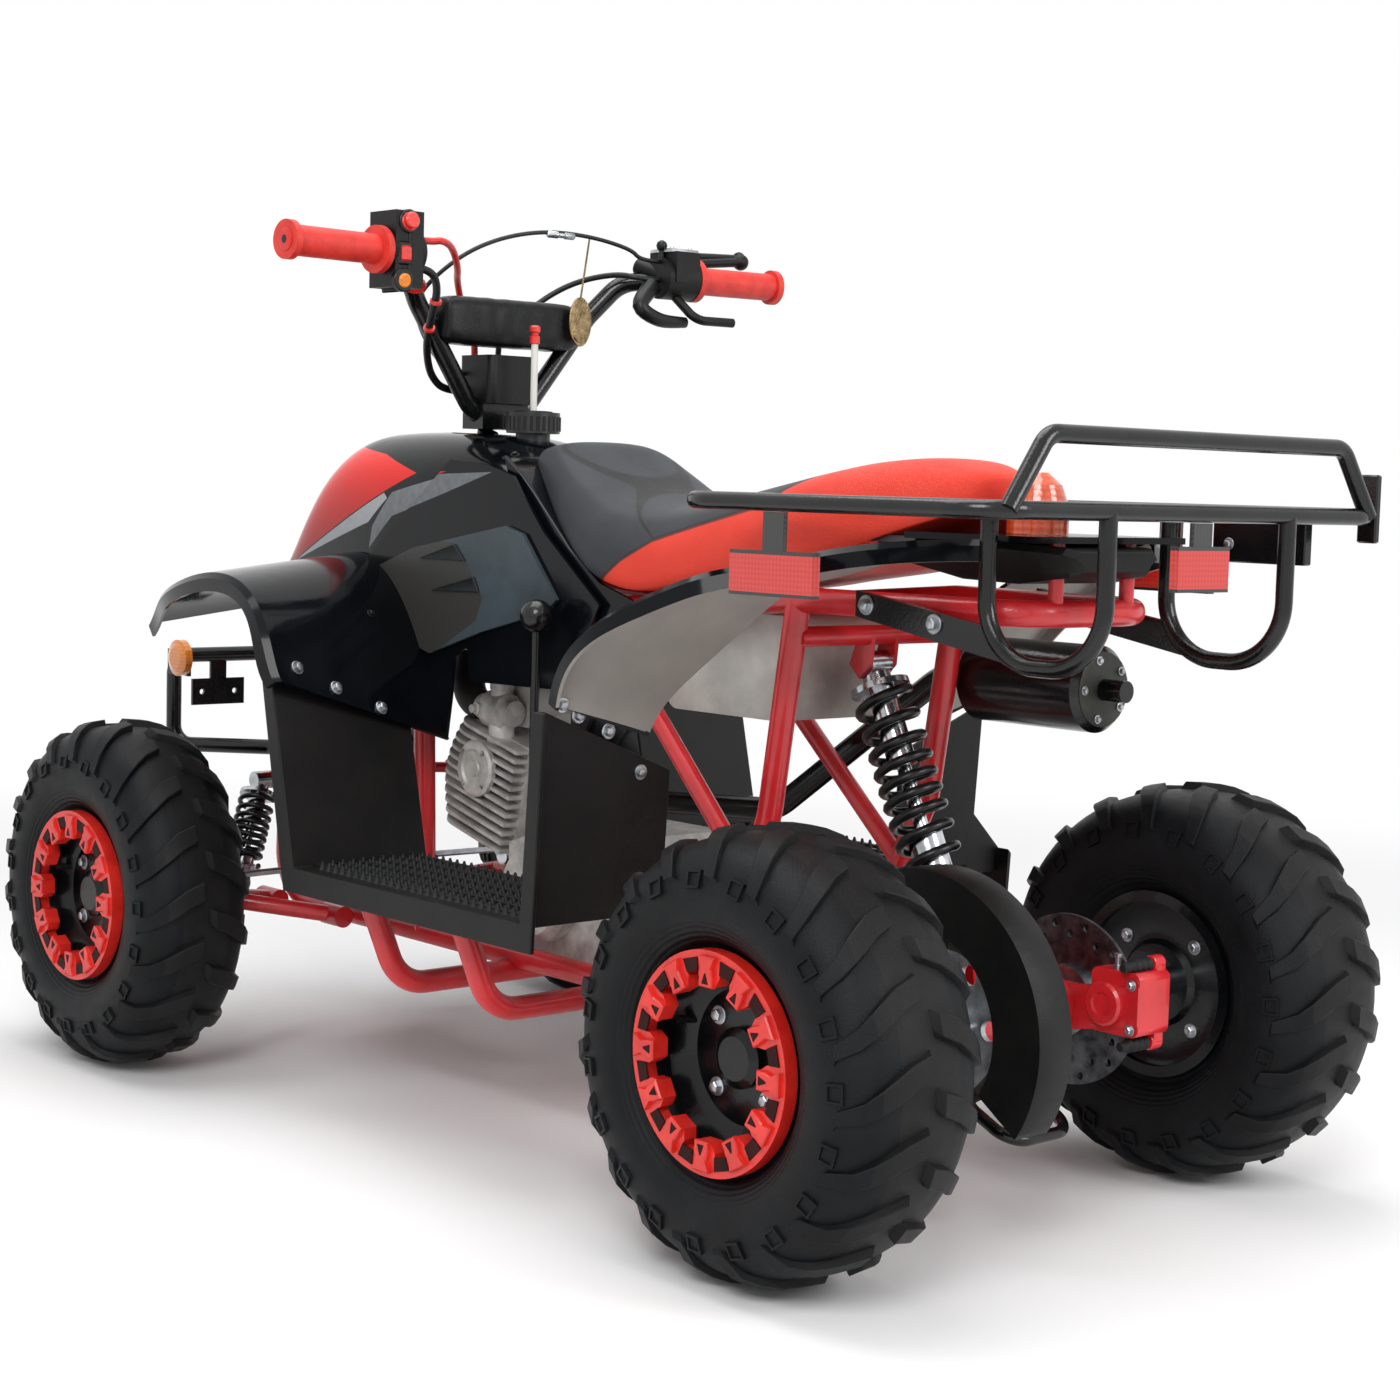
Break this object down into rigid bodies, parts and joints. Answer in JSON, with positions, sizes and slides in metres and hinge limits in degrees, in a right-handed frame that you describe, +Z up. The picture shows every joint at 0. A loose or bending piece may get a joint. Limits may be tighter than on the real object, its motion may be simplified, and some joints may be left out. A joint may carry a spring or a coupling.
{
  "type": "quad bike",
  "caption": "Small youth quad bike with tubular frame, moulded bodywork, footwells, rear rack, knobbly tyres and working handlebar steering.",
  "frame": {"origin": "on the ground, at the middle of the bounding box in plan", "axes": "+X ahead, +Y to the rider's left, +Z up"},
  "size_m": [1.497, 0.856, 0.9872],
  "materials": {
    "tyre": "moulded tread rubber",
    "black_steel": "gloss black paint",
    "red_plastic": "red moulded ring",
    "bare_steel": "plain steel",
    "red_paint": "red powder coat",
    "soft_black": "padded cover",
    "red_rubber": "moulded rubber",
    "black_plastic": "grained black",
    "chrome": "plated",
    "cast_alloy": "cast",
    "grey_plastic": "natural grey",
    "black_gloss": "gloss black moulding",
    "slate_plastic": "slate grey moulding",
    "vinyl": "charcoal vinyl, red sides",
    "red_lens": "prismatic reflector",
    "amber_lens": "prismatic lens",
    "clear_lens": "clear lamp glass",
    "cable_cover": "smooth cable cover"
  },
  "bodies": {
    "chassis": {"brake_caliper": "red_paint", "frame": "red_paint", "front_arms": "red_paint", "shocks": "chrome", "shock_springs": "black_steel", "swingarm": "red_paint", "chain": "bare_steel", "chain_guard": "black_steel", "skid_hoop": "black_steel", "engine_case": "cast_alloy", "engine_cylinder": "cast_alloy", "airbox": "grey_plastic", "exhaust": "black_steel", "gear_lever": "black_steel", "front_body": "black_gloss", "fuel_cap": "black_plastic", "knee_panels": "slate_plastic", "seat": "vinyl", "rear_fender": "black_gloss", "footwell_left": "black_plastic", "footwell_right": "black_plastic", "front_bumper": "black_steel", "rear_rack": "black_steel", "red_reflectors": "red_lens", "amber_reflectors": "amber_lens", "tail_lamp": "amber_lens", "head_lamps": "clear_lens"},
    "steering": {"steering_stem": "black_steel", "handlebar": "black_steel", "bar_pad": "soft_black", "grips": "red_rubber", "bar_controls": "black_plastic", "dash_box": "black_plastic", "throttle_cable": "cable_cover", "brake_hose": "cable_cover", "wire_loom": "cable_cover", "red_hose": "red_rubber"},
    "knuckle_left": {"knuckle_left": "bare_steel"},
    "knuckle_right": {"knuckle_right": "bare_steel"},
    "tie_rod_left": {"tie_rod_left": "bare_steel"},
    "tie_rod_right": {"tie_rod_right": "bare_steel"},
    "front_wheel_left": {"front_tyre_left": "tyre", "front_rim_left": "black_steel", "front_bead_ring_left": "red_plastic"},
    "front_wheel_right": {"front_tyre_right": "tyre", "front_rim_right": "black_steel", "front_bead_ring_right": "red_plastic"},
    "rear_axle": {"rear_axle": "bare_steel", "rear_sprocket": "bare_steel", "brake_disc": "bare_steel", "rear_tyres": "tyre", "rear_rims": "black_steel", "rear_bead_rings": "red_plastic"}
  },
  "joints": [
    {"name": "steering", "type": "hinge", "parent": "chassis", "child": "steering", "pos_m": [0.33781, 0, 0.65], "axis": [-0.3271, 0, 0.945], "range_deg": [-30, 30]},
    {"name": "knuckle_left", "type": "hinge", "parent": "chassis", "child": "knuckle_left", "pos_m": [0.5235, 0.262, 0.203], "axis": [0, 0, 1], "range_deg": [-27, 27]},
    {"name": "tie_rod_left", "type": "hinge", "parent": "steering", "child": "tie_rod_left", "pos_m": [0.43387, 0.01, 0.21964], "axis": [-0.3271, 0, 0.945], "range_deg": [-30.6, 30.6]},
    {"name": "front_wheel_left", "type": "hinge", "parent": "knuckle_left", "child": "front_wheel_left", "pos_m": [0.5235, 0.355, 0.203], "axis": [0, 1, 0], "continuous": true},
    {"name": "knuckle_right", "type": "hinge", "parent": "chassis", "child": "knuckle_right", "pos_m": [0.5235, -0.262, 0.203], "axis": [0, 0, 1], "range_deg": [-27, 27]},
    {"name": "tie_rod_right", "type": "hinge", "parent": "steering", "child": "tie_rod_right", "pos_m": [0.43387, -0.01, 0.21964], "axis": [-0.3271, 0, 0.945], "range_deg": [-30.6, 30.6]},
    {"name": "front_wheel_right", "type": "hinge", "parent": "knuckle_right", "child": "front_wheel_right", "pos_m": [0.5235, -0.355, 0.203], "axis": [0, 1, 0], "continuous": true},
    {"name": "rear_axle", "type": "hinge", "parent": "chassis", "child": "rear_axle", "pos_m": [-0.5265, 0, 0.203], "axis": [0, 1, 0], "continuous": true}
  ],
  "couplings": [
    {"joint": "knuckle_left", "follows": "steering", "ratio": 0.9},
    {"joint": "knuckle_right", "follows": "steering", "ratio": 0.9},
    {"joint": "tie_rod_left", "follows": "steering", "ratio": -1.02},
    {"joint": "tie_rod_right", "follows": "steering", "ratio": -1.02}
  ]
}
